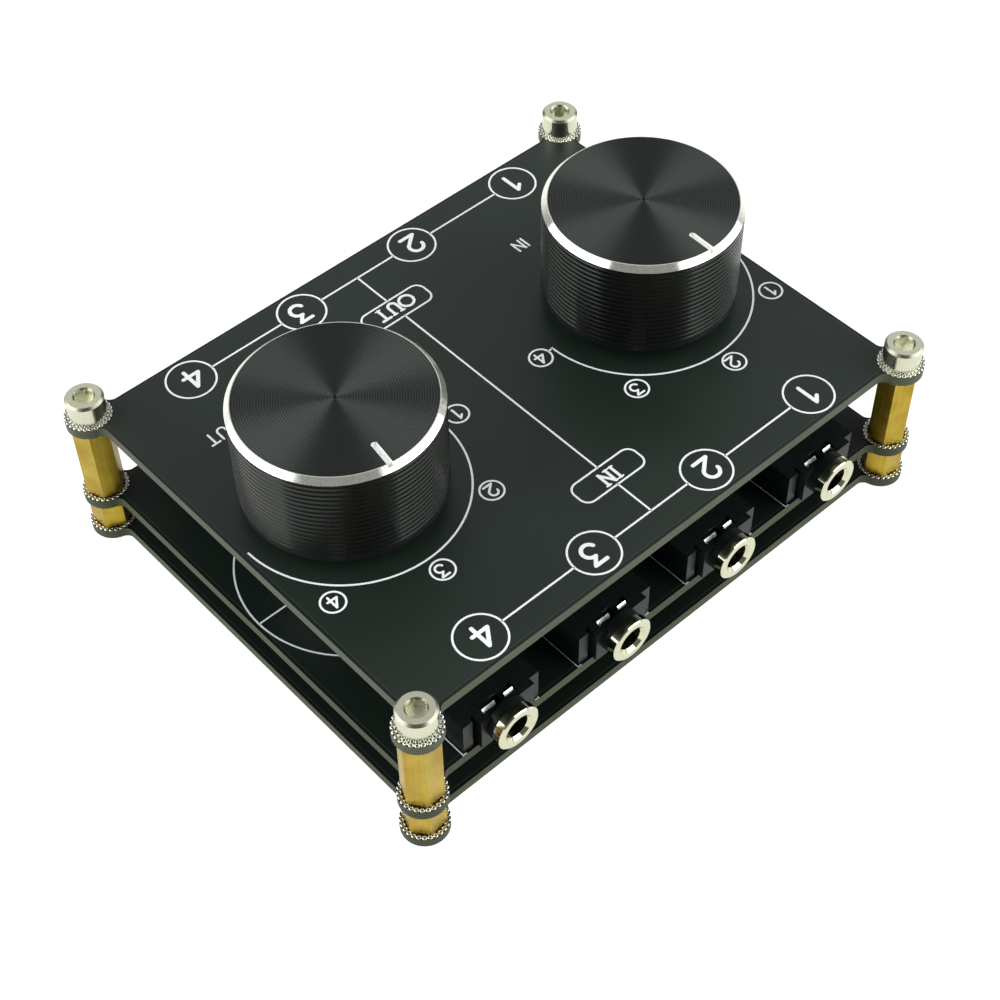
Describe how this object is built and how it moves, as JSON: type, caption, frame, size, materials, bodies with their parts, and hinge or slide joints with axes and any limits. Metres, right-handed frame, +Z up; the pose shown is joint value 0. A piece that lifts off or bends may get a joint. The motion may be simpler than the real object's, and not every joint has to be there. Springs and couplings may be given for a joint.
{
  "type": "audio switch box",
  "caption": "Passive audio switch box: stacked boards on hexagon pillars, a row of 3.5 mm jacks on each long side, and input and output selector knobs.",
  "frame": {"origin": "centre of the box on the surface it rests on, at the underside of the bottom screw heads", "axes": "+X along the printed numbers 1 to 4, +Y towards the input jacks, +Z up"},
  "size_m": [0.0946, 0.075, 0.0412],
  "materials": {
    "board": "black solder resist over glass fibre board, satin",
    "brass": "bright drawn brass",
    "nickel_screw": "nickel plate, satin",
    "zinc": "bare die-cast zinc",
    "phenolic": "brown phenolic, dull",
    "contact": "plated brass",
    "steel": "plain steel, smooth",
    "nickel_nut": "nickel plate, satin",
    "rotor_plastic": "moulded, dull",
    "anodised": "black anodised, fine turned",
    "black_steel": "black oxide",
    "jack_plastic": "moulded, satin",
    "jack_metal": "nickel plate, warm",
    "jack_contact": "tinned bronze"
  },
  "bodies": {
    "box": {"top_panel": "board", "middle_board": "board", "bottom_board": "board", "upper_pillars": "brass", "lower_pillars": "brass", "cap_screws": "nickel_screw", "bottom_screws": "nickel_screw", "in_can": "zinc", "in_base": "phenolic", "in_contacts": "contact", "in_rivets": "steel", "in_washer": "steel", "in_nut": "nickel_nut", "in_jack_1_body": "jack_plastic", "in_jack_1_nose": "jack_metal", "in_jack_1_contacts": "jack_contact", "in_jack_2_body": "jack_plastic", "in_jack_2_nose": "jack_metal", "in_jack_2_contacts": "jack_contact", "in_jack_3_body": "jack_plastic", "in_jack_3_nose": "jack_metal", "in_jack_3_contacts": "jack_contact", "in_jack_4_body": "jack_plastic", "in_jack_4_nose": "jack_metal", "in_jack_4_contacts": "jack_contact", "out_can": "zinc", "out_base": "phenolic", "out_contacts": "contact", "out_rivets": "steel", "out_washer": "steel", "out_nut": "nickel_nut", "out_jack_1_body": "jack_plastic", "out_jack_1_nose": "jack_metal", "out_jack_1_contacts": "jack_contact", "out_jack_2_body": "jack_plastic", "out_jack_2_nose": "jack_metal", "out_jack_2_contacts": "jack_contact", "out_jack_3_body": "jack_plastic", "out_jack_3_nose": "jack_metal", "out_jack_3_contacts": "jack_contact", "out_jack_4_body": "jack_plastic", "out_jack_4_nose": "jack_metal", "out_jack_4_contacts": "jack_contact"},
    "input_selector": {"in_knob": "anodised", "in_grub_screw": "black_steel", "in_shaft": "steel", "in_rotor": "rotor_plastic", "in_wipers": "contact", "in_detent_ball": "steel", "in_detent_spring": "steel"},
    "output_selector": {"out_knob": "anodised", "out_grub_screw": "black_steel", "out_shaft": "steel", "out_rotor": "rotor_plastic", "out_wipers": "contact", "out_detent_ball": "steel", "out_detent_spring": "steel"}
  },
  "joints": [
    {"name": "input_turn", "type": "hinge", "parent": "box", "child": "input_selector", "pos_m": [-0.027, 0, 0.025], "axis": [0, 0, 1], "range_deg": [-90, 45]},
    {"name": "output_turn", "type": "hinge", "parent": "box", "child": "output_selector", "pos_m": [0.027, 0, 0.025], "axis": [0, 0, 1], "range_deg": [-45, 90]}
  ]
}
